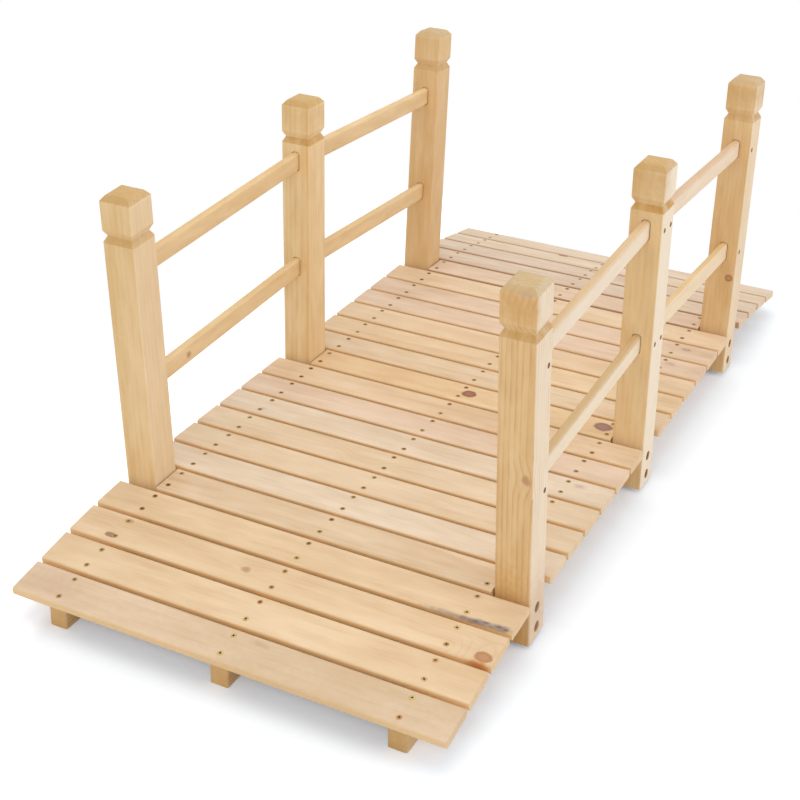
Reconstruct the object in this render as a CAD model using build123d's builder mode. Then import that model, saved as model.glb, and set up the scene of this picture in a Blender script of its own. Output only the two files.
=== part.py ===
# Low garden footbridge in natural softwood. Three ground beams carry a deck of crosswise boards
# that runs level in the middle and falls away at both ends. Six posts are bolted to the outsides of
# the outer beams, and an upper and a lower rail are let into the posts of each bay.
# Millimetres, +Z up, X along the walk with the near end at -X, +Y to the walker's left going +X,
# origin on the ground under the middle of the deck.
import os
from math import atan2, cos, hypot, radians, sin, tan

from build123d import *

os.makedirs("parts", exist_ok=True)

# Deck boards
plank_count = 23
plank_pitch = 65.7
plank_width = 59
plank_thickness = 13
plank_length = 668
plank_edge_radius = 3
plank_post_gap = 2.5

# Ground beams: level on top in the middle, rounded over to a ramp at each end
beam_depth = 72
beam_thickness = 28
beam_setback = 6
beam_end_radius = 3
level_length = 817
brow_radius = 1371
ramp_angle = 10

# Posts, measured up and down from the top of the deck
post_side = 52.5
post_corner_radius = 2.5
post_rise = 468.5
post_drop = 79
post_inset = 4
end_post_steps = 7
end_post_tilt = 3.6

# Shaped head of each post: a groove all round, and a cap block with bevelled upper edges
cap_height = 53.5
cap_bevel_height = 10
cap_bevel_inset = 8.2
cap_edge_radius = 6
groove_depth = 5.5
groove_upper_height = 10
groove_lower_height = 10

# Counterbored bolt holes through the foot of each post
bolt_hole_diameter = 8
bolt_counterbore_diameter = 16
bolt_counterbore_depth = 9
bolt_spacing = 33
bolt_foot_height = 17

# Rails, their heights over the deck at the middle posts, and the mortises that take them
rail_height = 32
rail_thickness = 13
rail_corner_radius = 4.5
upper_rail_rise = 365
lower_rail_rise = 175
rail_fall = 20
mortise_depth = 18
mortise_clearance = 1

# Worked out from the sizes above
deck_top = beam_depth + plank_thickness
post_y = plank_length / 2 - post_inset - post_side / 2
beam_y = post_y - post_side / 2 - beam_thickness / 2
short_plank_length = 2 * (post_y - post_side / 2 - plank_post_gap)
middle_plank = (plank_count + 1) // 2
level_half = level_length / 2
ramp = radians(ramp_angle)
tilt = radians(end_post_tilt)
side_names = {"left": 1, "right": -1}
stand_names = {"near": -1, "middle": 0, "far": 1}
bay_names = {"near": -1, "far": 1}
rail_rises = {"upper": upper_rail_rise, "lower": lower_rail_rise}


def beam_top_at(run):
    """Reach, height and slope of the beams' top, at a distance along it from the middle."""
    if run <= level_half:
        return run, beam_depth, 0
    turn = min((run - level_half) / brow_radius, ramp)
    ramp_run = max(run - level_half - brow_radius * ramp, 0)
    reach = level_half + brow_radius * sin(turn) + ramp_run * cos(turn)
    height = beam_depth - brow_radius * (1 - cos(turn)) - ramp_run * sin(turn)
    return reach, height, turn


def tilted_plane(reach, y, height, lean):
    """A plane at a place, its normal leaning from +Z towards +X by an angle in radians."""
    return Plane(
        origin=(reach, y, height),
        x_dir=(cos(lean), 0, -sin(lean)),
        z_dir=(sin(lean), 0, cos(lean)),
    )


deck_run = (plank_count - 1) / 2 * plank_pitch + plank_width / 2
beam_length = 2 * (beam_top_at(deck_run)[0] - beam_setback)
end_post_x = beam_top_at(end_post_steps * plank_pitch)[0]


def rail_line(rise, bay, side):
    """The plane of a rail's inner end, its normal along the rail, and the rail's length."""
    inner_face = post_side / 2
    outer_face = end_post_x + (rise - rail_fall) * tan(tilt) - post_side / 2 / cos(tilt)
    fall = atan2(rail_fall, outer_face - inner_face)
    along = Vector(bay * cos(fall), 0, -sin(fall))
    mouth = Vector(bay * inner_face, side * post_y, deck_top + rise)
    length = hypot(outer_face - inner_face, rail_fall) + 2 * mortise_depth
    return Plane(mouth - along * mortise_depth, x_dir=(0, 1, 0), z_dir=along), length


# Ground beams: flat underneath, the top outline run out to the ground and cut square at the ends,
# whose upright corners are eased
for beam_name, beam_share in {"left": 1, "centre": 0, "right": -1}.items():
    with BuildPart() as beam:
        with BuildSketch(Plane.XZ.offset(-beam_share * beam_y)):
            with BuildLine():
                level = Line((0, beam_depth), (level_half, beam_depth))
                brow = JernArc(level @ 1, level % 1, brow_radius, -ramp_angle)
                brow_foot = brow @ 1
                toe = brow_foot.X + brow_foot.Y / tan(ramp)
                Polyline(brow_foot, (toe, 0), (0, 0))
                mirror(about=Plane.YZ)
            make_face()
            Rectangle(beam_length, 2 * beam_depth, mode=Mode.INTERSECT)
        extrude(amount=beam_thickness / 2, both=True)
        fillet(beam.edges().filter_by(Axis.Z), radius=beam_end_radius)
    beam.part.label = f"beam_{beam_name}"
    export_step(beam.part, f"parts/beam_{beam_name}.step")

# Deck boards: eased along their edges, each seated flat on the beams' tops. The boards that meet
# the posts are cut short to lie between them.
for number in range(1, plank_count + 1):
    step = number - middle_plank
    reach, height, slope = beam_top_at(abs(step) * plank_pitch)
    outward = 1 if step > 0 else -1
    between_posts = abs(step) in (0, end_post_steps)
    seat = tilted_plane(outward * reach, 0, height, outward * slope)
    heart = seat.offset(plank_thickness / 2)
    with BuildPart() as plank:
        with BuildSketch(Plane(heart.origin, x_dir=heart.x_dir, z_dir=-heart.y_dir)):
            RectangleRounded(plank_width, plank_thickness, plank_edge_radius)
        extrude(amount=(short_plank_length if between_posts else plank_length) / 2, both=True)
    plank.part.label = f"plank_{number:02d}"
    export_step(plank.part, f"parts/plank_{number:02d}.step")

# Posts: a square bar with eased corners, cut to the same headed outline from the front and from the
# side, then drilled and counterbored at the foot and mortised for the rails. The end posts lean out.
neck = post_side / 2 - groove_depth
cap_bottom = post_rise - cap_height
groove_bottom = cap_bottom - groove_upper_height - groove_lower_height
half_outline = [
    (0, -post_drop),
    (post_side / 2, -post_drop),
    (post_side / 2, groove_bottom),
    (neck, groove_bottom + groove_lower_height),
    (post_side / 2, cap_bottom),
    (post_side / 2, post_rise - cap_bevel_height),
    (post_side / 2 - cap_bevel_inset, post_rise),
    (0, post_rise),
]
lower_bolt = (0, bolt_foot_height - post_drop)
upper_bolt = (0, bolt_foot_height + bolt_spacing - post_drop)

for stand_name, end in stand_names.items():
    for side_name, side in side_names.items():
        stand = tilted_plane(end * end_post_x, side * post_y, deck_top, end * tilt)
        from_front = Plane(stand.origin, x_dir=stand.y_dir, z_dir=stand.x_dir)
        from_side = Plane(stand.origin, x_dir=stand.x_dir, z_dir=-stand.y_dir)
        outer_face = Plane(
            stand.origin + stand.y_dir * side * post_side / 2,
            x_dir=stand.x_dir * -side,
            z_dir=stand.y_dir * side,
        )
        with BuildPart() as post:
            with BuildSketch(stand.offset(-post_drop)) as bar:
                Rectangle(post_side, post_side)
                fillet(bar.vertices(), radius=post_corner_radius)
            extrude(amount=post_drop + post_rise)
            for view in (from_front, from_side):
                with BuildSketch(view) as outline:
                    with BuildLine():
                        Polyline(*half_outline)
                        mirror(about=Plane.YZ)
                    make_face()
                    cap_corners = outline.vertices().filter_by(
                        lambda corner: corner.Y > cap_bottom - groove_upper_height / 2 and abs(corner.X) > neck / 2
                    )
                    fillet(cap_corners, radius=cap_edge_radius)
                extrude(amount=post_side, both=True, mode=Mode.INTERSECT)
            with Locations(outer_face):
                with Locations(upper_bolt, lower_bolt):
                    CounterBoreHole(
                        bolt_hole_diameter / 2,
                        bolt_counterbore_diameter / 2,
                        bolt_counterbore_depth,
                        post_side,
                    )
            for rise in rail_rises.values():
                for bay in bay_names.values() if end == 0 else (end,):
                    floor, length = rail_line(rise, bay, side)
                    if end != 0:
                        tip = floor.origin + floor.z_dir * length
                        floor = Plane(tip, x_dir=floor.x_dir, z_dir=-floor.z_dir)
                    with BuildSketch(floor):
                        RectangleRounded(
                            rail_thickness + 2 * mortise_clearance,
                            rail_height + 2 * mortise_clearance,
                            rail_corner_radius + mortise_clearance,
                        )
                    extrude(amount=post_side, mode=Mode.SUBTRACT)
        post.part.label = f"post_{stand_name}_{side_name}"
        export_step(post.part, f"parts/post_{stand_name}_{side_name}.step")

# Rails: straight bars with rounded corners that fall towards the end posts, their ends butted on
# the mortise floors
for level_name, rise in rail_rises.items():
    for bay_name, bay in bay_names.items():
        for side_name, side in side_names.items():
            root, length = rail_line(rise, bay, side)
            with BuildPart() as rail:
                with BuildSketch(root):
                    RectangleRounded(rail_thickness, rail_height, rail_corner_radius)
                extrude(amount=length)
            rail.part.label = f"rail_{level_name}_{bay_name}_{side_name}"
            export_step(rail.part, f"parts/rail_{level_name}_{bay_name}_{side_name}.step")
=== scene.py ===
import math
import random

import bmesh
import bpy
from mathutils import Matrix, Vector


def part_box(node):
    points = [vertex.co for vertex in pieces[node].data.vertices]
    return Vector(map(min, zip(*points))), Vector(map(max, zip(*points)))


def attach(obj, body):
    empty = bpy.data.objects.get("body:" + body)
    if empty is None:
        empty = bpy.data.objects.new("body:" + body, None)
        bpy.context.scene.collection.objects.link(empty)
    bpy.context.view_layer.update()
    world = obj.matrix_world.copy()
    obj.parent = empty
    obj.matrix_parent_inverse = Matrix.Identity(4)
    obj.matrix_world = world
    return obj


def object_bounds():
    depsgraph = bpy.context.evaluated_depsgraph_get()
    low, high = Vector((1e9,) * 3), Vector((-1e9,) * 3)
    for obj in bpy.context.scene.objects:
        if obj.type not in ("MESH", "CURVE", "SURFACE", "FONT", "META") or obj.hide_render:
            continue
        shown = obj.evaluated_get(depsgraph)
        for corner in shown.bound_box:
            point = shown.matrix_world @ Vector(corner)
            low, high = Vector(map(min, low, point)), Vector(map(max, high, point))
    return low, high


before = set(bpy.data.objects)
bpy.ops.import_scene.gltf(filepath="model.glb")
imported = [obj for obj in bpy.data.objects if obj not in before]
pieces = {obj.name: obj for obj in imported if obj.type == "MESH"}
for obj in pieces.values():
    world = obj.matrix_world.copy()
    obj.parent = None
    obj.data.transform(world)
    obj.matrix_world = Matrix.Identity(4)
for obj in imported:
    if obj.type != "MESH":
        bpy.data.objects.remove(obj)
cadBox = [list(corner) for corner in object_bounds()]
mm = 0.001
onward, leftward, upward = Vector((1, 0, 0)), Vector((0, 1, 0)), Vector((0, 0, 1))  # as one walks over it
faceTurn = {"towards": 0.9, "flat": 0.99999}  # cosines: turned that way at all, and lying in one plane
waveTurn = math.tau / 20  # a wave texture of scale 1 repeats over this length
print("frame loaded:", len(pieces), "pieces")


def linear(hexColour):  # sRGB hex to the linear colour that sockets take
    channels = [int(hexColour[i:i + 2], 16) / 255 for i in (1, 3, 5)]
    return [c / 12.92 if c <= 0.04045 else ((c + 0.055) / 1.055) ** 2.4 for c in channels] + [1]


def grey(shade):  # already linear
    return (shade, shade, shade, 1)


def addNode(tree, kind, inputs=None, **settings):  # sockets go by name, or by number where names repeat
    node = tree.nodes.new(kind)
    for name, value in settings.items():
        setattr(node, name, value)
    for socket, value in (inputs or {}).items():
        if isinstance(value, bpy.types.NodeSocket):
            tree.links.new(value, node.inputs[socket])
        else:
            node.inputs[socket].default_value = value
    return node


def newMaterial(name):
    material = bpy.data.materials.new(name)
    material.use_nodes = True
    material.node_tree.nodes.clear()
    return material, material.node_tree


def widestFace(piece, direction):  # middle and normal of the widest flat face turned that way
    facing = [p for p in pieces[piece].data.polygons if p.normal.dot(direction) > faceTurn["towards"]]
    normal = max(facing, key=lambda p: p.area).normal.copy()
    flat = [p for p in facing if p.normal.dot(normal) > faceTurn["flat"]]
    middle = sum((p.center * p.area for p in flat), Vector()) / sum(p.area for p in flat)
    return middle, normal


def pieceAxes(piece):  # a piece's middle, and its own axes with the grain along local Z
    lowest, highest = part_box(piece)
    kind = piece.split("_")[0]
    side, grain = leftward, onward
    if kind == "plank":
        side, grain = widestFace(piece, upward)[1], -leftward
    elif kind == "post":
        grain = -widestFace(piece, -upward)[1]
    elif kind == "rail":
        grain = leftward.cross(widestFace(piece, upward)[1])
    return (lowest + highest) / 2, Matrix((side.cross(grain), side, grain)).transposed()


# Knots and stains: what the eye sees is a ring of dark bark round a red-brown core, or a soft grey bloom. The
# marks for rail tops and post heads are painted shade
markKinds = {
    "redKnot": {"core": "#9E604B", "rim": "#743F31", "soft": 0.2, "strength": 0.9, "bend": 9},
    "mauveKnot": {"core": "#9C7069", "rim": "#7A504A", "soft": 0.22, "strength": 0.85, "bend": 7},
    "ringKnot": {"core": "#BE8C5C", "rim": "#8A5836", "soft": 0.22, "strength": 0.85, "bend": 8},
    "paleKnot": {"core": "#BF8B5E", "rim": "#AC764A", "soft": 0.24, "strength": 0.92, "bend": 22},
    "brownKnot": {"core": "#9C704D", "rim": "#7F5639", "soft": 0.3, "strength": 0.85, "bend": 5},
    "ashKnot": {"core": "#C2A184", "rim": "#A07C62", "soft": 0.3, "strength": 0.8, "bend": 7},
    "smallKnot": {"core": "#B98461", "rim": "#A06C50", "soft": 0.5, "strength": 0.75, "bend": 5},
    "greyKnot": {"core": "#B79C8C", "rim": "#C4A993", "soft": 0.6, "strength": 0.6, "bend": 4},
    "swirl": {"core": "#DDB98E", "rim": "#E3C098", "soft": 0.9, "strength": 0.25, "bend": 14},
    "greyStreak": {"core": "#82726F", "rim": "#9A887E", "soft": 0.5, "strength": 0.78, "bend": 0},
    "greyFleck": {"core": "#574C4C", "rim": "#6C5F5E", "soft": 0.7, "strength": 0.75, "bend": 0},
    "faintStreak": {"core": "#A08C80", "rim": "#B9A08A", "soft": 0.65, "strength": 0.75, "bend": 0},
    "redFlare": {"core": "#C47A3C", "rim": "#D09658", "soft": 0.6, "strength": 0.88, "bend": 0},
    "rosyBloom": {"core": "#D3B296", "rim": "#DDBFA2", "soft": 0.7, "strength": 0.7, "bend": 0},
    # painted shade: the next three darken the tops of the rails
    "dullTop": {"core": "#C2A070", "rim": "#C8A87A", "soft": 0.5, "strength": 0.6, "bend": 0},
    "softTop": {"core": "#C9A468", "rim": "#CDA970", "soft": 0.5, "strength": 0.4, "bend": 0},
    "rosyTop": {"core": "#C9A07C", "rim": "#CDA684", "soft": 0.5, "strength": 0.45, "bend": 0},
    "tanBloom": {"core": "#C9AB82", "rim": "#C9AB82", "soft": 0.9, "strength": 0.42, "bend": 0},
    "amberBloom": {"core": "#CC9847", "rim": "#D6A860", "soft": 0.7, "strength": 0.6, "bend": 0},
    # painted shade: the next three darken the heads of the posts
    "capShade": {"core": "#C4995F", "rim": "#CBA36C", "soft": 0.9, "strength": 0.5, "bend": 0},
    "faintCapShade": {"core": "#C4995F", "rim": "#CBA36C", "soft": 0.9, "strength": 0.24, "bend": 0},
    "warmCapShade": {"core": "#CB9858", "rim": "#D6A86C", "soft": 0.7, "strength": 0.6, "bend": 0},
}

# How every mark ends: what isn't in millimetres is in shares of its half sizes
markEdge = {
    "raggedMm": 25 / 3,
    "raggedDetail": 2,
    "raggedLeast": 0.2,
    "raggedBySoft": 0.8,
    "softReach": 1.5,
    "rim": (0.7, 0.15),  # where the rim starts and where it is full, in from the edge
    "bendReach": 4,
}

# Planed pine: pale early wood, thin honey late-wood lines, long soft fibre streaks, hardly any shine
pineLook = {
    "tints": {  # paler wood, deeper wood and late-wood line
        "honey": ("#F1D3AA", "#E2BE90", "#CB9C63"),
        "cream": ("#F0D5B3", "#E0C09A", "#CB9F71"),
        "rosy": ("#EED4BA", "#DEBFA1", "#C99E79"),
        "ashen": ("#E9D4BE", "#D9BFA5", "#C49E7C"),
        "bleached": ("#EEDAC1", "#DFC7AA", "#CEA981"),
        "dusky": ("#EAD1B3", "#DABD9B", "#C39A72"),
        "straw": ("#EFD4AF", "#DFBF96", "#CA9E6C"),
        "muted": ("#ECD4B4", "#DCBF9B", "#C79E72"),
        "golden": ("#E9C898", "#DCB47C", "#BF8F52"),
        "tawny": ("#DFBF91", "#D2AB76", "#B6884E"),
        "flaxen": ("#EFD2A3", "#E2BE87", "#C59858"),
        "blond": ("#F4D8A9", "#E8C48D", "#C99B5B"),
    },
    "patchMm": (45, 260),  # across and along the grain
    "patchRange": (0.25, 0.75),  # noise that gives only paler and only deeper wood
    "blotchMm": (15, 62),
    "blotchRange": (0.35, 0.65),
    "blotchStrength": 0.7,
    "fibreMm": (2.2, 110),  # coarser than real fibres, so that they show
    "fibreRange": (0.35, 0.75),
    "fibreStrength": 0.12,
    "cloudDetail": 2.5,
    "cloudShift": 50,  # each piece has its own part of the noise
    "wanderMm": (30, 420),
    "wanderScale": 3.2,
    "ringShiftMm": 400,
    "ringDistortion": 3.5,
    "ringDetail": 1.5,
    "lateWood": ((0.5, 0.08), (0.8, 0.55), (0.92, 1.0)),  # how the line darkens across one growth ring
    "lineFade": (0.3, 1.3),  # a line's strength where it fades and where it is plainest
    "rightLitWood": ("#F1E3CF", "#DABD96"),  # wood and line of the faces on the right, painted paler: painted light from the right
    "rightLitTurn": (0.3, 0.9),
    "bumpMm": 0.12,
    "bumpStrength": 0.5,
    "roughness": 0.6,
    "specular": 0.3,
}

# Saw-cut wood soaks up light and looks warmer: the tint, and its amount by how far a face turns to the grain
cutLook = {
    "warmHead": {"tint": "#BC9353", "bothEnds": False, "turn": (0.3, 0.6), "amount": 0.7},
    "greyHead": {"tint": "#B9A47D", "bothEnds": False, "turn": (0.3, 0.6), "amount": 0.6},
    "beamEnds": {"tint": "#BE9054", "bothEnds": True, "turn": (0.3, 0.8), "amount": 0.6},
    "darkBeamEnds": {"tint": "#B88C4C", "bothEnds": True, "turn": (0.3, 0.8), "amount": 0.65},
    "boardEnds": {"tint": "#DDB988", "bothEnds": True, "turn": (0.3, 0.8), "amount": 0.35},
    "speckMm": (2.2, 9),
    "speckDetail": 2,
    "speckRange": (0.35, 0.7),
    "torn": (0.78, 1.12),
}

# Sawn board edges: a pale yellow, a painted light for the light that fills the gaps between the boards and
# turns them honey-coloured; towards the far end a darker brown
gapLightLook = {"tint": "#ECC48C", "farTint": "#B98A58", "farFrom": 19, "turn": (0.4, 0.95), "amount": 0.7}

# The lower slope of the groove round a post's head is rough and soaked darker; heights from the post's middle
grooveLook = {"tint": "#C8964A", "fromMm": 200.6, "toMm": 210, "soak": (0.5, 1.5)}

# Inside the mortises and counterbores the drilled walls get a painted shade: a brown for the light that never
# reaches them
hollowShadeLook = {
    "tint": "#A87A5A",
    "amount": 0.85,
    "skinMm": (0.8, 2.2),  # depth below the bar's skin where the painted shade starts and where it is full
    "headFootMm": 199,  # the shaped head above this height is left out
    "footTurn": -0.95,  # and so is the foot, which faces straight down
}


def grainCloud(tree, own, sizeMm, detail, shift=(0, 0, 0)):  # noise of a real size, drawn out along the grain
    wide, long = sizeMm
    at = addNode(tree, "ShaderNodeMapping", {
        "Vector": own, "Location": shift, "Scale": (1 / wide, 1 / wide, 1 / long)}).outputs[0]
    return addNode(tree, "ShaderNodeTexNoise", {"Vector": at, "Scale": 1, "Detail": detail}).outputs[0]


# A post's hollow is half its side in millimetres and how dark its groove is; edges is the tint of sawn edges,
# a painted light in the gaps; the share after marks is how strongly the faces to the right are painted paler,
# a painted light
def pine(piece, tint, ringMm, pithMm, lineStrength, taper, marks=(), rightLightShare=0, cut=None, hollow=None,
         edges=None):
    material, tree = newMaterial(f"planed pine {piece}")
    draw = random.Random(piece)
    middle, axes = pieceAxes(piece)
    pale, deep, line = (linear(c) for c in pineLook["tints"][tint])
    seat = addNode(tree, "ShaderNodeTexCoord").outputs
    own = addNode(tree, "ShaderNodeMapping", {
        "Vector": seat["Object"], "Location": middle, "Rotation": axes.to_euler(), "Scale": (mm, mm, mm),
    }, vector_type="TEXTURE").outputs[0]  # millimetres from the piece's middle, grain along Z
    along = addNode(tree, "ShaderNodeSeparateXYZ", {0: own}).outputs

    # soft patches and blotches of paler and deeper wood, and long fibre streaks
    clouds = {}
    for name in ("patch", "blotch", "fibre"):
        shift = [draw.uniform(0, pineLook["cloudShift"]) for _ in "xyz"]
        clouds[name] = grainCloud(tree, own, pineLook[name + "Mm"], pineLook["cloudDetail"], shift)
    patches = addNode(tree, "ShaderNodeMath", {
        0: clouds["blotch"], 1: pineLook["blotchStrength"], 2: clouds["patch"],
    }, operation="MULTIPLY_ADD").outputs[0]
    blotchMean = pineLook["blotchStrength"] / 2
    low, high = pineLook["patchRange"]
    patchEven = addNode(tree, "ShaderNodeMapRange", {
        0: patches, 1: low + blotchMean, 2: high + blotchMean}).outputs[0]
    colour = addNode(tree, "ShaderNodeMix", {0: patchEven, 6: pale, 7: deep}, data_type="RGBA").outputs[2]

    # marks push the growth rings aside
    phase = addNode(tree, "ShaderNodeMath", {0: along[2], 1: taper}, operation="MULTIPLY").outputs[0]
    ragged = addNode(tree, "ShaderNodeTexNoise", {
        "Vector": own, "Scale": 1 / markEdge["raggedMm"], "Detail": markEdge["raggedDetail"]}).outputs[0]
    painted = []
    for kind, place, halves in marks:
        look = markKinds[kind]
        offset = addNode(tree, "ShaderNodeVectorMath", {0: own, 1: place}, operation="SUBTRACT").outputs[0]
        shaped = addNode(tree, "ShaderNodeVectorMath", {
            0: offset, 1: [1 / half if half else 0 for half in halves]}, operation="MULTIPLY").outputs[0]
        reach = addNode(tree, "ShaderNodeVectorMath", {0: shaped}, operation="LENGTH").outputs["Value"]
        bend = addNode(tree, "ShaderNodeMapRange", {
            0: reach, 1: 0, 2: markEdge["bendReach"], 3: look["bend"], 4: 0,
        }, interpolation_type="SMOOTHERSTEP").outputs[0]
        phase = addNode(tree, "ShaderNodeMath", {0: phase, 1: bend}, operation="ADD").outputs[0]
        raggedness = markEdge["raggedLeast"] + markEdge["raggedBySoft"] * look["soft"]
        edge = addNode(tree, "ShaderNodeMath", {
            0: ragged, 1: raggedness, 2: reach}, operation="MULTIPLY_ADD").outputs[0]
        painted.append((look, edge, 1 + raggedness / 2))

    # growth rings round a pith off to one side, their lines fading in and out
    wide, long = pineLook["wanderMm"]
    ringAt = addNode(tree, "ShaderNodeMapping", {
        "Vector": own, "Scale": (1, 1, wide / long),
        "Location": (-pithMm[0], -pithMm[1], draw.uniform(0, pineLook["ringShiftMm"]))}).outputs[0]
    rings = addNode(tree, "ShaderNodeTexWave", {
        "Vector": ringAt, "Scale": waveTurn / ringMm, "Distortion": pineLook["ringDistortion"],
        "Detail": pineLook["ringDetail"], "Detail Scale": ringMm / wide * pineLook["wanderScale"],
        "Phase Offset": phase,
    }, wave_type="RINGS", rings_direction="Z", wave_profile="SAW").outputs["Fac"]
    lateWood = addNode(tree, "ShaderNodeValToRGB", {0: rings})
    for place, shade in pineLook["lateWood"]:
        lateWood.color_ramp.elements.new(place).color = grey(shade)
    lateWood.color_ramp.elements[-1].color = grey(0)
    low, high = pineLook["blotchRange"]
    faint, plain = pineLook["lineFade"]
    fading = addNode(tree, "ShaderNodeMapRange", {
        0: clouds["blotch"], 1: low, 2: high, 3: lineStrength * faint, 4: lineStrength * plain}).outputs[0]
    lineAmount = addNode(tree, "ShaderNodeMath", {
        0: lateWood.outputs[0], 1: fading}, operation="MULTIPLY").outputs[0]
    colour = addNode(tree, "ShaderNodeMix", {0: lineAmount, 6: colour, 7: line}, data_type="RGBA").outputs[2]
    low, high = pineLook["fibreRange"]
    fibreEven = addNode(tree, "ShaderNodeMapRange", {
        0: clouds["fibre"], 1: low, 2: high, 3: 0, 4: pineLook["fibreStrength"]}).outputs[0]
    colour = addNode(tree, "ShaderNodeMix", {0: fibreEven, 6: colour, 7: line}, data_type="RGBA").outputs[2]

    # painted light: the faces turned to the right painted paler
    if rightLightShare:
        turned = addNode(tree, "ShaderNodeVectorMath", {
            0: seat["Normal"], 1: -leftward}, operation="DOT_PRODUCT").outputs["Value"]
        low, high = pineLook["rightLitTurn"]
        amount = addNode(tree, "ShaderNodeMapRange", {
            0: turned, 1: low, 2: high, 3: 0, 4: rightLightShare}).outputs[0]
        litPale, litLine = (linear(c) for c in pineLook["rightLitWood"])
        rightLitWood = addNode(tree, "ShaderNodeMix", {
            0: lineAmount, 6: litPale, 7: litLine}, data_type="RGBA").outputs[2]
        colour = addNode(tree, "ShaderNodeMix", {
            0: amount, 6: colour, 7: rightLitWood}, data_type="RGBA").outputs[2]

    # faces cut across the grain, torn a little by the saw
    toGrain = addNode(tree, "ShaderNodeVectorMath", {
        0: seat["Normal"], 1: axes.col[2]}, operation="DOT_PRODUCT").outputs["Value"]
    if cut:
        look = cutLook[cut]
        turned = toGrain
        if look["bothEnds"]:
            turned = addNode(tree, "ShaderNodeMath", {0: toGrain}, operation="ABSOLUTE").outputs[0]
        low, high = look["turn"]
        sawn = addNode(tree, "ShaderNodeMapRange", {
            0: turned, 1: low, 2: high, 3: 0, 4: look["amount"]}).outputs[0]
        speck = grainCloud(tree, own, cutLook["speckMm"], cutLook["speckDetail"])
        low, high = cutLook["speckRange"]
        least, most = cutLook["torn"]
        torn = addNode(tree, "ShaderNodeMapRange", {0: speck, 1: low, 2: high, 3: least, 4: most}).outputs[0]
        amount = addNode(tree, "ShaderNodeMath", {
            0: sawn, 1: torn}, operation="MULTIPLY", use_clamp=True).outputs[0]
        colour = addNode(tree, "ShaderNodeMix", {
            0: amount, 6: colour, 7: linear(look["tint"])}, data_type="RGBA").outputs[2]

    # a board's sawn long edges, painted with the pale yellow of painted light in the gaps
    if edges:
        turned = addNode(tree, "ShaderNodeVectorMath", {
            0: seat["Normal"], 1: axes.col[0]}, operation="DOT_PRODUCT").outputs["Value"]
        sawn = addNode(tree, "ShaderNodeMath", {0: turned}, operation="ABSOLUTE").outputs[0]
        low, high = gapLightLook["turn"]
        amount = addNode(tree, "ShaderNodeMapRange", {
            0: sawn, 1: low, 2: high, 3: 0, 4: gapLightLook["amount"]}).outputs[0]
        colour = addNode(tree, "ShaderNodeMix", {
            0: amount, 6: colour, 7: linear(edges)}, data_type="RGBA").outputs[2]

    # the groove, and the painted shade on the walls of the mortises and counterbores, known by their depth
    # below the bar's skin
    if hollow:
        halfMm, grooveAmount = hollow
        above = addNode(tree, "ShaderNodeMath", {
            0: along[2], 1: grooveLook["fromMm"]}, operation="GREATER_THAN").outputs[0]
        under = addNode(tree, "ShaderNodeMath", {
            0: along[2], 1: grooveLook["toMm"]}, operation="LESS_THAN").outputs[0]
        groove = addNode(tree, "ShaderNodeMath", {0: above, 1: under}, operation="MULTIPLY").outputs[0]
        low, high = pineLook["blotchRange"]
        least, most = grooveLook["soak"]
        soaked = addNode(tree, "ShaderNodeMapRange", {
            0: clouds["blotch"], 1: low, 2: high, 3: grooveAmount * least, 4: grooveAmount * most}).outputs[0]
        amount = addNode(tree, "ShaderNodeMath", {0: groove, 1: soaked}, operation="MULTIPLY").outputs[0]
        colour = addNode(tree, "ShaderNodeMix", {
            0: amount, 6: colour, 7: linear(grooveLook["tint"])}, data_type="RGBA").outputs[2]
        depths = []
        for axis in (0, 1):
            side = addNode(tree, "ShaderNodeMath", {0: along[axis]}, operation="ABSOLUTE").outputs[0]
            depths.append(addNode(tree, "ShaderNodeMath", {
                0: halfMm, 1: side}, operation="SUBTRACT").outputs[0])
        depth = addNode(tree, "ShaderNodeMath", {
            0: depths[0], 1: depths[1]}, operation="MINIMUM").outputs[0]
        low, high = hollowShadeLook["skinMm"]
        sunk = addNode(tree, "ShaderNodeMapRange", {
            0: depth, 1: low, 2: high, 3: 0, 4: hollowShadeLook["amount"]}).outputs[0]
        below = addNode(tree, "ShaderNodeMath", {
            0: along[2], 1: hollowShadeLook["headFootMm"]}, operation="LESS_THAN").outputs[0]
        wall = addNode(tree, "ShaderNodeMath", {
            0: toGrain, 1: hollowShadeLook["footTurn"]}, operation="GREATER_THAN").outputs[0]
        amount = addNode(tree, "ShaderNodeMath", {0: sunk, 1: below}, operation="MULTIPLY").outputs[0]
        amount = addNode(tree, "ShaderNodeMath", {0: amount, 1: wall}, operation="MULTIPLY").outputs[0]
        colour = addNode(tree, "ShaderNodeMix", {
            0: amount, 6: colour, 7: linear(hollowShadeLook["tint"])}, data_type="RGBA").outputs[2]

    # the marks themselves, each with a rim round its core
    rimStart, rimFull = markEdge["rim"]
    for look, edge, brink in painted:
        amount = addNode(tree, "ShaderNodeMapRange", {
            0: edge, 1: brink, 2: brink - markEdge["softReach"] * look["soft"], 3: 0, 4: look["strength"],
        }, interpolation_type="SMOOTHSTEP").outputs[0]
        outwards = addNode(tree, "ShaderNodeMapRange", {
            0: edge, 1: brink - rimStart, 2: brink - rimFull}).outputs[0]
        shade = addNode(tree, "ShaderNodeMix", {
            0: outwards, 6: linear(look["core"]), 7: linear(look["rim"])}, data_type="RGBA").outputs[2]
        colour = addNode(tree, "ShaderNodeMix", {0: amount, 6: colour, 7: shade}, data_type="RGBA").outputs[2]

    grainHeight = addNode(tree, "ShaderNodeMath", {
        0: lineAmount, 1: clouds["fibre"]}, operation="ADD").outputs[0]
    bump = addNode(tree, "ShaderNodeBump", {
        "Strength": pineLook["bumpStrength"], "Distance": pineLook["bumpMm"] * mm, "Height": grainHeight,
    }).outputs[0]
    surface = addNode(tree, "ShaderNodeBsdfPrincipled", {
        "Base Color": colour, "Roughness": pineLook["roughness"], "Specular IOR Level": pineLook["specular"],
        "Normal": bump}).outputs[0]
    addNode(tree, "ShaderNodeOutputMaterial", {"Surface": surface})
    pieces[piece].data.materials.clear()
    pieces[piece].data.materials.append(material)


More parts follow.
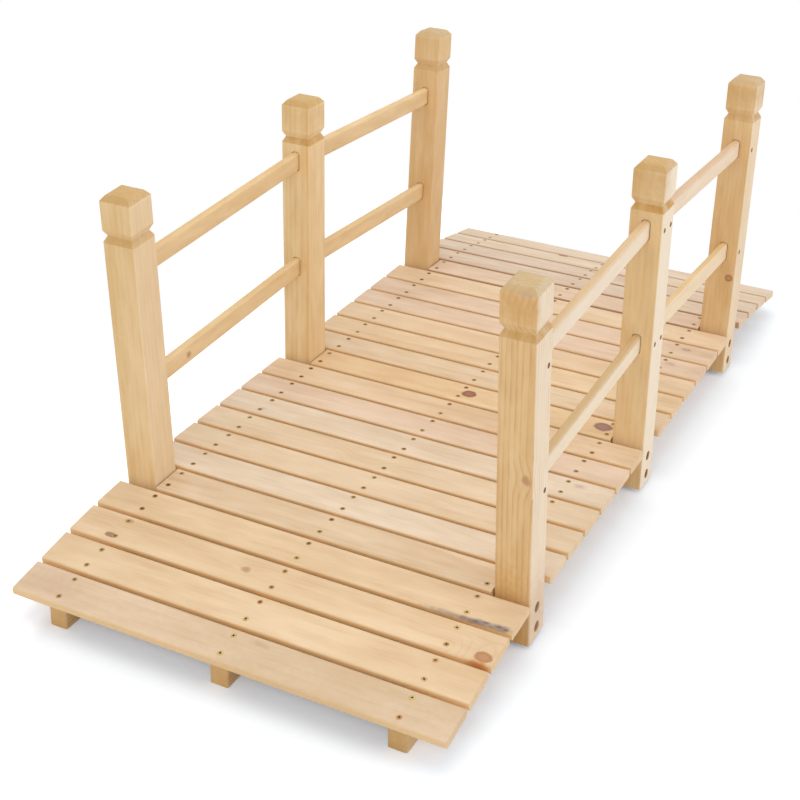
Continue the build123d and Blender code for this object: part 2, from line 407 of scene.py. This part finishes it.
# Deck boards: tints by board number from the near end. A mark has its kind, its place from the board's
# middle as across, up and towards the right, and half sizes, where 0 runs right through the board
deckLook = {
    "tints": {
        "dusky": (1,),
        "muted": (5, 7, 8, 13),
        "straw": (2, 3, 4, 14),
        "honey": (12,),
        "rosy": (10, 16, 17, 19),
        "ashen": (20, 21),
        "bleached": (6, 9, 22, 23),
        "cream": (11, 15, 18),
    },
    "ringMm": (2.6, 4.6),
    "pithSideMm": 32,
    "pithDepthMm": (18, 60),
    "lineStrength": (0.14, 0.28),
    "taper": (-0.03, 0.03),
    "marks": {
        1: [("greyKnot", (18, 0, 42), (6, 0, 22)), ("rosyBloom", (2, 0, -290), (36, 0, 80)),
            ("tanBloom", (0, 0, 150), (0, 0, 500))],
        3: [("paleKnot", (-17, 0, 318), (11, 0, 14.5)), ("redFlare", (-30, 0, 315), (7, 0, 27)),
            ("smallKnot", (0, 0, -52), (8, 0, 9.5)), ("brownKnot", (-17, 0, -270), (6.5, 0, 11.5)),
            ("smallKnot", (18.5, 0, -263.5), (7, 0, 10))],
        4: [("faintStreak", (-28, 6.5, 245), (6.5, 6, 62)), ("greyStreak", (-28, 6.5, 270), (5.5, 6, 24)),
            ("greyStreak", (-27, 6.5, 291), (8.5, 6, 26)), ("greyStreak", (-26.5, 6.5, 317), (9, 6, 22)),
            ("greyFleck", (-27.5, 6.5, 281), (3, 6, 6)), ("greyFleck", (-24.5, 6.5, 295), (3, 6, 7)),
            ("greyFleck", (-28, 6.5, 303), (2.5, 6, 5)), ("greyFleck", (-25, 6.5, 314), (3, 6, 6)),
            ("greyFleck", (-27, 6.5, 325), (2.5, 6, 7))],
        8: [("swirl", (0, 0, -36), (14, 0, 20))],
        9: [("greyKnot", (-12, 0, -261), (5, 0, 8)), ("greyKnot", (12, 0, 284), (9, 0, 15))],
        12: [("redKnot", (0, 0, 14), (12.5, 0, 15)), ("mauveKnot", (3, 0, 251), (15, 0, 18))],
        16: [("greyKnot", (8, 0, 276), (10, 0, 16))],
        17: [("ashKnot", (8, 0, 284), (6.5, 0, 9.5))],
        22: [("redKnot", (24, 0, -88), (5, 0, 12))],
    },
}
boards = sorted(name for name in pieces if name.startswith("plank"))
for number, board in enumerate(boards, 1):
    draw = random.Random(number)
    tint = next(tint for tint, numbers in deckLook["tints"].items() if number in numbers)
    pith = (draw.uniform(-1, 1) * deckLook["pithSideMm"], -draw.uniform(*deckLook["pithDepthMm"]))
    ringMm = draw.uniform(*deckLook["ringMm"])
    lineStrength = draw.uniform(*deckLook["lineStrength"])
    taper = draw.uniform(*deckLook["taper"])
    edges = gapLightLook["tint" if number < gapLightLook["farFrom"] else "farTint"]
    pine(board, tint, ringMm, pith, lineStrength, taper, deckLook["marks"].get(number, ()),
         cut="boardEnds", edges=edges)
print("deck boards finished:", len(boards))

# Posts: golden on the faces towards the near end, soft straight lines, and the faces to the right painted
# paler as painted light. A mark's place is from the post's middle, as along the walk, to the left and up
postLook = {
    "ringMm": (5, 7),
    "pithMm": (35, 80),
    "taper": 0.004,
    "posts": {  # tint, strength of the lines, darkness of the groove, share of painted light on the faces to the right, cut head
        "post_near_left": ("flaxen", 0.16, 0.16, 0.33, "warmHead"),
        "post_near_right": ("golden", 0.55, 0.5, 0.72, "greyHead"),
        "post_middle_left": ("blond", 0.3, 0.6, 0.12, "warmHead"),
        "post_middle_right": ("flaxen", 0.16, 0.6, 0.85, "warmHead"),
        "post_far_left": ("golden", 0.12, 0.34, 0.08, "greyHead"),
        "post_far_right": ("golden", 0.22, 0.46, 0.5, "greyHead"),
    },
    # the marks that darken a post's head are painted shade
    "marks": {
        "post_near_right": [("smallKnot", (-25, -16, -4), (12, 9, 10)),
                            ("warmCapShade", (-26, 0, 246), (14, 60, 40)),
                            ("amberBloom", (-26, 4, -240), (14, 60, 150)),
                            ("rosyBloom", (0, -26, -230), (60, 14, 110)),
                            ("greyKnot", (-22, -10, 265), (12, 12, 6))],
        "post_far_right": [("ringKnot", (-25, -16, -89), (10, 8, 8)), ("capShade", (0, 0, 250), (0, 0, 45))],
        "post_middle_right": [("capShade", (-26, 0, 255), (34, 0, 80))],
        "post_middle_left": [("faintCapShade", (0, 0, 246), (0, 0, 50))],
    },
}
for name, (tint, lineStrength, grooveAmount, rightLightShare, head) in postLook["posts"].items():
    draw = random.Random(name)
    pith = [draw.choice((-1, 1)) * draw.uniform(*postLook["pithMm"]) for _ in "xy"]
    ringMm = draw.uniform(*postLook["ringMm"])
    lowest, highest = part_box(name)
    halfMm = (highest.y - lowest.y) / 2 / mm
    pine(name, tint, ringMm, pith, lineStrength, postLook["taper"], postLook["marks"].get(name, ()),
         rightLightShare, head, (halfMm, grooveAmount))

# Rails: clear pale stock with fine straight lines, the faces to the right painted paler as painted light,
# some of them darker along the top as painted shade
railTopShade = ((-16, 0, 0), (7, 0, 0))  # a mark's place, measured down, across and along, and half sizes: a painted shade along the top
railLook = {
    "ringMm": 3.2,
    "pithMm": (-70, 45),
    "lineStrength": 0.28,
    "taper": 0.006,
    "tint": {"upper_left": "flaxen", "lower_left": "flaxen", "upper_right": "cream", "lower_right": "flaxen"},
    # how much paler the faces to the right are painted: painted light
    "rightLightShare": {"near_left": 0.1, "far_left": 0.1, "near_right": 0.75, "far_right": 0.5},
    "marks": {
        "rail_lower_near_left": [("smallKnot", (1, 0, -126), (8, 0, 9))],
        "rail_lower_near_right": [("dullTop", *railTopShade)],
        "rail_upper_near_right": [("softTop", *railTopShade)],
        "rail_upper_far_right": [("rosyTop", *railTopShade)],
    },
}
rails = sorted(name for name in pieces if name.startswith("rail"))
for name in rails:
    level, bay, side = name.split("_")[1:]
    tint = railLook["tint"][f"{level}_{side}"]
    pine(name, tint, railLook["ringMm"], railLook["pithMm"], railLook["lineStrength"], railLook["taper"],
         railLook["marks"].get(name, ()), railLook["rightLightShare"][f"{bay}_{side}"])

# Ground beams: plainer, with cut ends towards the walker
beamLook = {
    "ringMm": 4.5,
    "pithMm": (60, 30),
    "lineStrength": 0.45,
    "taper": 0.01,
    "beams": {  # tint and cut ends
        "beam_left": ("golden", "beamEnds"),
        "beam_centre": ("golden", "beamEnds"),
        "beam_right": ("tawny", "darkBeamEnds"),
    },
}
for name, (tint, ends) in beamLook["beams"].items():
    pine(name, tint, beamLook["ringMm"], beamLook["pithMm"], beamLook["lineStrength"], beamLook["taper"],
         cut=ends)
print("posts, rails and beams finished")

# Yellow-passivated zinc on steel: a soft brassy gloss, from olive to reddish brown on different heads
zincLook = {
    "olive": "#C4AF72",
    "brown": "#AB7B5A",
    "dull": "#8E7848",
    "dullRange": (0.4, 0.7),
    "dullAmount": 0.85,
    "cloudMm": 3,
    "cloudDetail": 2,
    "roughness": 0.38,
}


def yellowZinc():
    material, tree = newMaterial("yellow zinc plated steel")
    at = addNode(tree, "ShaderNodeTexCoord").outputs["Object"]
    cloud = addNode(tree, "ShaderNodeTexNoise", {
        "Vector": at, "Scale": 1 / (zincLook["cloudMm"] * mm), "Detail": zincLook["cloudDetail"]}).outputs[0]
    tone = addNode(tree, "ShaderNodeAttribute", attribute_name="tone", attribute_type="GEOMETRY")
    colour = addNode(tree, "ShaderNodeMix", {
        0: tone.outputs["Fac"], 6: linear(zincLook["olive"]), 7: linear(zincLook["brown"]),
    }, data_type="RGBA").outputs[2]
    low, high = zincLook["dullRange"]
    dulled = addNode(tree, "ShaderNodeMapRange", {
        0: cloud, 1: low, 2: high, 3: 0, 4: zincLook["dullAmount"]}).outputs[0]
    colour = addNode(tree, "ShaderNodeMix", {
        0: dulled, 6: colour, 7: linear(zincLook["dull"])}, data_type="RGBA").outputs[2]
    surface = addNode(tree, "ShaderNodeBsdfPrincipled", {
        "Base Color": colour, "Metallic": 1, "Roughness": zincLook["roughness"]}).outputs[0]
    addNode(tree, "ShaderNodeOutputMaterial", {"Surface": surface})
    return material


# Shade and grime in the driver recess, a brown ring round the countersink, partly wood fibres crushed brown
# and partly painted shade of the countersink's gap, and the painted shade of the rail screws deep in their
# holes: dull and blotched
fillLook = {
    "tones": {  # two colours, and the size of their clouds in millimetres
        "shaded driver recess": ("#33260F", "#4C3A1C", 2),
        "crushed fibres and countersink shade": ("#A87B4A", "#D0A672", 1.5),
        "stained screw hole": ("#6B452B", "#8C6040", 2),
    },
    "cloudDetail": 2,
    "roughness": 0.8,
}


def darkFill(name):
    first, second, cloudMm = fillLook["tones"][name]
    material, tree = newMaterial(name)
    at = addNode(tree, "ShaderNodeTexCoord").outputs["Object"]
    cloud = addNode(tree, "ShaderNodeTexNoise", {
        "Vector": at, "Scale": 1 / (cloudMm * mm), "Detail": fillLook["cloudDetail"]}).outputs[0]
    colour = addNode(tree, "ShaderNodeMix", {
        0: cloud, 6: linear(first), 7: linear(second)}, data_type="RGBA").outputs[2]
    surface = addNode(tree, "ShaderNodeBsdfPrincipled", {
        "Base Color": colour, "Roughness": fillLook["roughness"]}).outputs[0]
    addNode(tree, "ShaderNodeOutputMaterial", {"Surface": surface})
    return material


fastenerFinishes = {
    "zinc": yellowZinc(),
    "recess": darkFill("shaded driver recess"),
    "fibres": darkFill("crushed fibres and countersink shade"),
    "hole": darkFill("stained screw hole"),
}
finishNumbers = {name: number for number, name in enumerate(fastenerFinishes)}

# Countersunk deck screws, their heads just proud of the boards
screwLook = {
    "headMm": 7.4,
    "rimMm": 8.4,
    "liftMm": 0.02,
    "proudMm": 0.4,
    "flare": 1.03,  # foot of the head, as a share of the head's size
    "crown": 0.86,
    "footRise": 0.3,  # heights of the foot and the edge, as shares of proudMm
    "edgeRise": 0.75,
    "recessMm": 0.36,
    "recessTaper": 0.7,
    "armMm": 4,
    "armWidthMm": 1.7,
    "sides": 20,
    "acrossMm": (-16, 18.5),
    "strayMm": 1.2,
    "seed": 7,
}
# Hexagon bolts on washers, sunk in the posts' counterbores
boltLook = {
    "acrossFlatsMm": 10,
    "headMm": 4,
    "chamferMm": 0.8,
    "chamferRun": 1.6,
    "corners": 6,
    "washerMm": 14.6,
    "washerThickMm": 1.2,
    "washerEase": 0.25,  # share of the thickness
    "sides": 24,
    "footMm": 17,
    "spacingMm": 33,
    "sunkMm": 9,
    "seed": 3,
}
# Rail screws, driven through the posts' outer faces into the rail ends
railScrewLook = {"fromEndMm": 6, "seed": 5}


def ringOf(shape, sides, radius, height):
    return [shape.verts.new((radius * math.cos(a) * mm, radius * math.sin(a) * mm, height * mm))
            for a in (math.tau * i / sides for i in range(sides))]


def bridge(shape, lower, upper, region, value):
    count = len(lower)
    for i in range(count):
        face = shape.faces.new((lower[i], lower[(i + 1) % count], upper[(i + 1) % count], upper[i]))
        face[region] = value


def asObject(shape, name):
    mesh = bpy.data.meshes.new(name)
    shape.to_mesh(mesh)
    shape.free()
    return bpy.data.objects.new(name, mesh)


def screwHead(name, headFinish, recessFinish, rimFinish):
    look = screwLook
    metal, dark, wood = (finishNumbers[finish] for finish in (headFinish, recessFinish, rimFinish))
    shape = bmesh.new()
    region = shape.faces.layers.int.new("region")
    head, rim, top = look["headMm"] / 2, look["rimMm"] / 2, look["proudMm"]
    outer = ringOf(shape, look["sides"], rim, look["liftMm"])
    foot = ringOf(shape, look["sides"], head * look["flare"], top * look["footRise"])
    edge = ringOf(shape, look["sides"], head, top * look["edgeRise"])
    crown = ringOf(shape, look["sides"], head * look["crown"], top)
    shape.faces.new(outer[::-1])[region] = wood
    bridge(shape, outer, foot, region, wood)
    bridge(shape, foot, edge, region, metal)
    bridge(shape, edge, crown, region, metal)
    arm, half = look["armMm"] / 2, look["armWidthMm"] / 2
    corner = [(arm, -half), (arm, half), (half, half)]
    cross = []
    for quarter in range(4):
        turn = Matrix.Rotation(quarter * math.pi / 2, 2)
        cross += [turn @ Vector(c) for c in corner]
    lip = [shape.verts.new((c.x * mm, c.y * mm, top * mm)) for c in cross]
    floorSize, floorHeight = look["recessTaper"] * mm, (top - look["recessMm"]) * mm
    floor = [shape.verts.new((c.x * floorSize, c.y * floorSize, floorHeight)) for c in cross]
    bridge(shape, lip, floor, region, dark)
    shape.faces.new(floor)[region] = dark
    loops = [shape.edges.get((loop[i], loop[i - 1])) or shape.edges.new((loop[i], loop[i - 1]))
             for loop in (crown, lip) for i in range(len(loop))]
    filled = bmesh.ops.triangle_fill(shape, edges=loops, use_beauty=True, normal=upward)
    for face in filled["geom"]:
        if isinstance(face, bmesh.types.BMFace):
            face[region] = metal
    return asObject(shape, name)


def boltHead():
    look = boltLook
    metal = finishNumbers["zinc"]
    shape = bmesh.new()
    region = shape.faces.layers.int.new("region")
    washer, thick, ease = look["washerMm"] / 2, look["washerThickMm"], look["washerEase"]
    base = ringOf(shape, look["sides"], washer, 0)
    rise = ringOf(shape, look["sides"], washer, thick * (1 - ease))
    flat = ringOf(shape, look["sides"], washer - thick * ease, thick)
    shape.faces.new(base[::-1])[region] = metal
    bridge(shape, base, rise, region, metal)
    bridge(shape, rise, flat, region, metal)
    shape.faces.new(flat)[region] = metal
    half = look["acrossFlatsMm"] / 2 / math.cos(math.pi / look["corners"])
    top = thick + look["headMm"]
    hexFoot = ringOf(shape, look["corners"], half, thick)
    hexTop = ringOf(shape, look["corners"], half, top - look["chamferMm"])
    crown = ringOf(shape, look["corners"], half - look["chamferMm"] * look["chamferRun"], top)
    shape.faces.new(hexFoot[::-1])[region] = metal
    bridge(shape, hexFoot, hexTop, region, metal)
    bridge(shape, hexTop, crown, region, metal)
    shape.faces.new(crown)[region] = metal
    return asObject(shape, "boltHead")


def fastenerTree():  # a head on every seat, turned to its facing and spun at random
    tree = bpy.data.node_groups.new("fasteners on seats", "GeometryNodeTree")
    for name, kind in (("Seats", "NodeSocketGeometry"), ("Head", "NodeSocketObject"),
                       ("Spin", "NodeSocketFloat"), ("Seed", "NodeSocketInt")):
        tree.interface.new_socket(name, in_out="INPUT", socket_type=kind)
    tree.interface.new_socket("Heads", in_out="OUTPUT", socket_type="NodeSocketGeometry")
    given = addNode(tree, "NodeGroupInput").outputs
    facing = addNode(tree, "GeometryNodeInputNamedAttribute", {
        "Name": "facing"}, data_type="FLOAT_VECTOR").outputs[0]
    turned = addNode(tree, "FunctionNodeAlignRotationToVector", {"Vector": facing}, axis="Z").outputs[0]
    # a random number has its lowest and highest value in sockets 2 and 3 and its seed in 8
    angle = addNode(tree, "FunctionNodeRandomValue", {2: 0.0, 3: given["Spin"], 8: given["Seed"]}).outputs[1]
    spin = addNode(tree, "FunctionNodeAxisAngleToRotation", {"Axis": upward, "Angle": angle}).outputs[0]
    both = addNode(tree, "FunctionNodeRotateRotation", {
        "Rotation": turned, "Rotate By": spin}, rotation_space="LOCAL").outputs[0]
    head = addNode(tree, "GeometryNodeObjectInfo", {"Object": given["Head"]}).outputs["Geometry"]
    placed = addNode(tree, "GeometryNodeInstanceOnPoints", {
        "Points": given["Seats"], "Instance": head, "Rotation": both}).outputs[0]
    tone = addNode(tree, "FunctionNodeRandomValue", {2: 0.0, 3: 1.0, 8: given["Seed"]}).outputs[1]
    toned = addNode(tree, "GeometryNodeStoreNamedAttribute", {
        "Geometry": placed, "Name": "tone", "Value": tone}, data_type="FLOAT", domain="INSTANCE").outputs[0]
    heads = addNode(tree, "GeometryNodeRealizeInstances", {0: toned}).outputs[0]
    region = addNode(tree, "GeometryNodeInputNamedAttribute", {"Name": "region"}, data_type="INT").outputs[0]
    for name, finish in fastenerFinishes.items():
        chosen = addNode(tree, "FunctionNodeCompare", {
            2: region, 3: finishNumbers[name]}, data_type="INT", operation="EQUAL").outputs[0]
        heads = addNode(tree, "GeometryNodeSetMaterial", {
            "Geometry": heads, "Selection": chosen, "Material": finish}).outputs[0]
    addNode(tree, "NodeGroupOutput", {0: heads})
    return tree


def setFasteners(name, seats, head, tree, seed):  # seats are (place, facing) pairs in metres
    mesh = bpy.data.meshes.new(name + "_seats")
    mesh.from_pydata([tuple(place) for place, facing in seats], [], [])
    facings = mesh.attributes.new("facing", "FLOAT_VECTOR", "POINT")
    for item, (place, facing) in zip(facings.data, seats):
        item.vector = facing
    holder = bpy.data.objects.new(name + "_seats", mesh)
    bpy.context.scene.collection.objects.link(holder)
    modifier = holder.modifiers.new("fasteners", "NODES")
    modifier.node_group = tree
    sockets = {s.name: s.identifier for s in tree.interface.items_tree if s.in_out == "INPUT"}
    for socket, value in (("Head", head), ("Spin", math.tau), ("Seed", seed)):
        modifier[sockets[socket]] = value
    made = holder.evaluated_get(bpy.context.evaluated_depsgraph_get())
    finished = bpy.data.objects.new(name, bpy.data.meshes.new_from_object(made))
    bpy.data.objects.remove(holder)
    bpy.context.scene.collection.objects.link(finished)
    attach(finished, "root")
    print(name, "set:", len(seats))


fasteners = fastenerTree()
# the ring round each deck screw's head is partly crushed fibres, partly painted shade
deckScrew = screwHead("deckScrew", "zinc", "recess", "fibres")
# the rail screws are flat heads all in the brown of painted shade, for screws deep in their holes
railScrew = screwHead("railScrew", "hole", "hole", "hole")
bolt = boltHead()

draw = random.Random(screwLook["seed"])
beamLines = [sum(corner.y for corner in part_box(f"beam_{b}")) / 2 for b in ("left", "centre", "right")]
deckSeats = []
for board in boards:
    middle, up = widestFace(board, upward)
    across = leftward.cross(up)
    for beamY in beamLines:
        for offset in screwLook["acrossMm"]:
            stray = [draw.uniform(-1, 1) * screwLook["strayMm"] * mm for _ in "xy"]
            place = middle + across * (offset * mm + stray[0]) + leftward * (beamY + stray[1])
            deckSeats.append((place, up))
setFasteners("deck_screws", deckSeats, deckScrew, fasteners, screwLook["seed"])

boltSeats, railSeats = [], []
for side, outward in (("left", 1), ("right", -1)):
    out = leftward * outward
    for stand in ("near", "middle", "far"):
        foot, down = widestFace(f"post_{stand}_{side}", -upward)
        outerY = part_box(f"post_{stand}_{side}")[outward > 0].y
        for height in (boltLook["footMm"], boltLook["footMm"] + boltLook["spacingMm"]):
            place = foot - down * height * mm
            place.y = outerY - outward * boltLook["sunkMm"] * mm
            boltSeats.append((place, out))
    for rail in (name for name in rails if name.endswith(side)):
        middle, axes = pieceAxes(rail)
        along = axes.col[2].normalized()
        spans = [along.dot(v.co - middle) for v in pieces[rail].data.vertices]
        inset = railScrewLook["fromEndMm"] * mm
        for end in (min(spans) + inset, max(spans) - inset):
            place = middle + along * end
            place.y = outerY
            railSeats.append((place, out))
setFasteners("post_bolts", boltSeats, bolt, fasteners, boltLook["seed"])
setFasteners("rail_screws", railSeats, railScrew, fasteners, railScrewLook["seed"])


def seenRays(tree):  # 1 for what is seen straight on, in gloss or through glass, 0 for light that bounces
    rays = addNode(tree, "ShaderNodeLightPath").outputs
    seen = addNode(tree, "ShaderNodeMath", {
        0: rays["Is Camera Ray"], 1: rays["Is Glossy Ray"]}, operation="MAXIMUM").outputs[0]
    return addNode(tree, "ShaderNodeMath", {
        0: seen, 1: rays["Is Transmission Ray"]}, operation="MAXIMUM").outputs[0]


# Pale studio floor: white to the camera, keeping the soft shadow under the deck
floorLook = {
    "sizeM": 30,
    "gapMm": 0.3,
    "body": 0.85,  # for light that bounces
    "seen": 0.93,  # for the camera
    "fadeM": (0.1, 0.45),  # plain white from here to there, out from the deck
    # cool light past the deck's ends and sides, which evens out the warm light off the wood: a range in
    # metres from the deck's edge, and colours along it
    "glows": {
        "ends": ((-0.2, 0.02), ((0.5, (0.04, 0.09, 0.14)), (0.8, (0.13, 0.17, 0.215)),
                                (1, (0.1, 0.13, 0.16)))),
        "left": ((-0.11, 0.02), ((0.4, (0.1, 0.13, 0.16)), (0.6, (0.3, 0.34, 0.38)),
                                 (1, (0.37, 0.4, 0.43)))),
        "right": ((-0.2, 0.13), ((0.333, (0, 0.06, 0.13)), (0.667, (0.165, 0.23, 0.29)),
                                 (1, (0.15, 0.173, 0.185)))),
    },
}


def studioFloor():
    material, tree = newMaterial("matt white studio floor")
    reachX, reachY = cadBox[1][:2]
    at = addNode(tree, "ShaderNodeTexCoord").outputs["Object"]
    spread = addNode(tree, "ShaderNodeVectorMath", {0: at}, operation="ABSOLUTE").outputs[0]
    beyond = addNode(tree, "ShaderNodeVectorMath", {
        0: spread, 1: (reachX, reachY, 0)}, operation="SUBTRACT").outputs[0]
    outside = addNode(tree, "ShaderNodeVectorMath", {0: beyond, 1: (0, 0, 0)}, operation="MAXIMUM").outputs[0]
    away = addNode(tree, "ShaderNodeVectorMath", {0: outside}, operation="LENGTH").outputs["Value"]
    across = addNode(tree, "ShaderNodeSeparateXYZ", {0: at}).outputs[1]
    past = {"ends": addNode(tree, "ShaderNodeSeparateXYZ", {0: beyond}).outputs[0]}
    for side, outward in (("left", 1), ("right", -1)):
        past[side] = addNode(tree, "ShaderNodeMath", {
            0: across, 1: outward, 2: -reachY}, operation="MULTIPLY_ADD").outputs[0]
    glows = []
    for side, ((start, end), stops) in floorLook["glows"].items():
        openness = addNode(tree, "ShaderNodeMapRange", {0: past[side], 1: start, 2: end}).outputs[0]
        ramp = addNode(tree, "ShaderNodeValToRGB", {0: openness})
        ramp.color_ramp.elements.remove(ramp.color_ramp.elements[-1])
        for place, shade in stops:
            ramp.color_ramp.elements.new(place).color = (*shade, 1)
        glows.append(ramp.outputs[0])
    evened = glows[0]
    for other in glows[1:]:
        evened = addNode(tree, "ShaderNodeMix", {
            0: 1.0, 6: evened, 7: other}, data_type="RGBA", blend_type="LIGHTEN").outputs[2]
    start, end = floorLook["fadeM"]
    fade = addNode(tree, "ShaderNodeMapRange", {
        0: away, 1: start, 2: end}, interpolation_type="SMOOTHSTEP").outputs[0]
    body = addNode(tree, "ShaderNodeBsdfDiffuse", {"Color": grey(floorLook["body"])}).outputs[0]
    shade = addNode(tree, "ShaderNodeBsdfDiffuse", {"Color": grey(floorLook["seen"])}).outputs[0]
    glow = addNode(tree, "ShaderNodeEmission", {"Color": evened, "Strength": 1}).outputs[0]
    white = addNode(tree, "ShaderNodeEmission", {"Strength": 1}).outputs[0]
    near = addNode(tree, "ShaderNodeAddShader", {0: shade, 1: glow}).outputs[0]
    shown = addNode(tree, "ShaderNodeMixShader", {0: fade, 1: near, 2: white}).outputs[0]
    mixed = addNode(tree, "ShaderNodeMixShader", {0: seenRays(tree), 1: body, 2: shown}).outputs[0]
    addNode(tree, "ShaderNodeOutputMaterial", {"Surface": mixed})
    return material


half, drop = floorLook["sizeM"] / 2, -floorLook["gapMm"] * mm
corners = [(-half, -half, drop), (half, -half, drop), (half, half, drop), (-half, half, drop)]
floorMesh = bpy.data.meshes.new("floor")
floorMesh.from_pydata(corners, [], [(0, 1, 2, 3)])
floorMesh.materials.append(studioFloor())
floor = bpy.data.objects.new("floor", floorMesh)
bpy.context.scene.collection.objects.link(floor)

# Soft studio light: an even white room, a wide bank overhead and smaller ones on the right and in front
lightLook = {
    "room": 0.6,
    "banks": [  # name, place, aim, size in metres, power in watts
        ("overhead", (0.3, 0.4, 3.2), (0, 0, 0), 3.0, 36.5),
        ("right", (0.6, -3.4, 1.5), (0, 0, 0.2), 2.2, 33),
        ("front", (-3.4, -0.6, 1.8), (0, 0, 0.2), 2.4, 30),
    ],
}
world = bpy.data.worlds.new("studio")
world.use_nodes = True
studio = world.node_tree
studio.nodes.clear()
room = addNode(studio, "ShaderNodeMapRange", {0: seenRays(studio), 3: lightLook["room"], 4: 1}).outputs[0]
sky = addNode(studio, "ShaderNodeBackground", {"Color": grey(1), "Strength": room}).outputs[0]
addNode(studio, "ShaderNodeOutputWorld", {"Surface": sky})
bpy.context.scene.world = world
for name, place, target, size, power in lightLook["banks"]:
    lamp = bpy.data.lights.new(name, "AREA")
    lamp.size = size
    lamp.energy = power
    bank = bpy.data.objects.new(name, lamp)
    bank.location = place
    bank.rotation_euler = (Vector(target) - Vector(place)).to_track_quat("-Z", "Y").to_euler()
    bpy.context.scene.collection.objects.link(bank)
bpy.context.scene.view_settings.view_transform = "Standard"

# Camera: placed, turned and rolled, with a lens shift that moves the framing
cameraLook = {
    "placeMm": (-2152, -968.4, 1352.8),
    "azimuthDeg": 26.842,
    "elevationDeg": -22.837,
    "rollDeg": 0.97,
    "lensMm": 71.41,
    "sensorMm": 36,
    "shiftY": -0.2,
}
azimuth, elevation, roll = (math.radians(cameraLook[k]) for k in ("azimuthDeg", "elevationDeg", "rollDeg"))
level = Vector((math.cos(azimuth), math.sin(azimuth), 0))
forward = level * math.cos(elevation) + upward * math.sin(elevation)
right = forward.cross(upward).normalized()
up = right.cross(forward)
rightRolled = right * math.cos(roll) + up * math.sin(roll)
upRolled = up * math.cos(roll) - right * math.sin(roll)
lens = bpy.data.cameras.new("camera")
lens.lens = cameraLook["lensMm"]
lens.sensor_width = cameraLook["sensorMm"]
lens.shift_y = cameraLook["shiftY"]
camera = bpy.data.objects.new("camera", lens)
turn = Matrix((rightRolled, upRolled, -forward)).transposed().to_4x4()
camera.matrix_world = Matrix.Translation(Vector(cameraLook["placeMm"]) * mm) @ turn
bpy.context.scene.collection.objects.link(camera)
bpy.context.scene.camera = camera
print("floor, light and camera set")
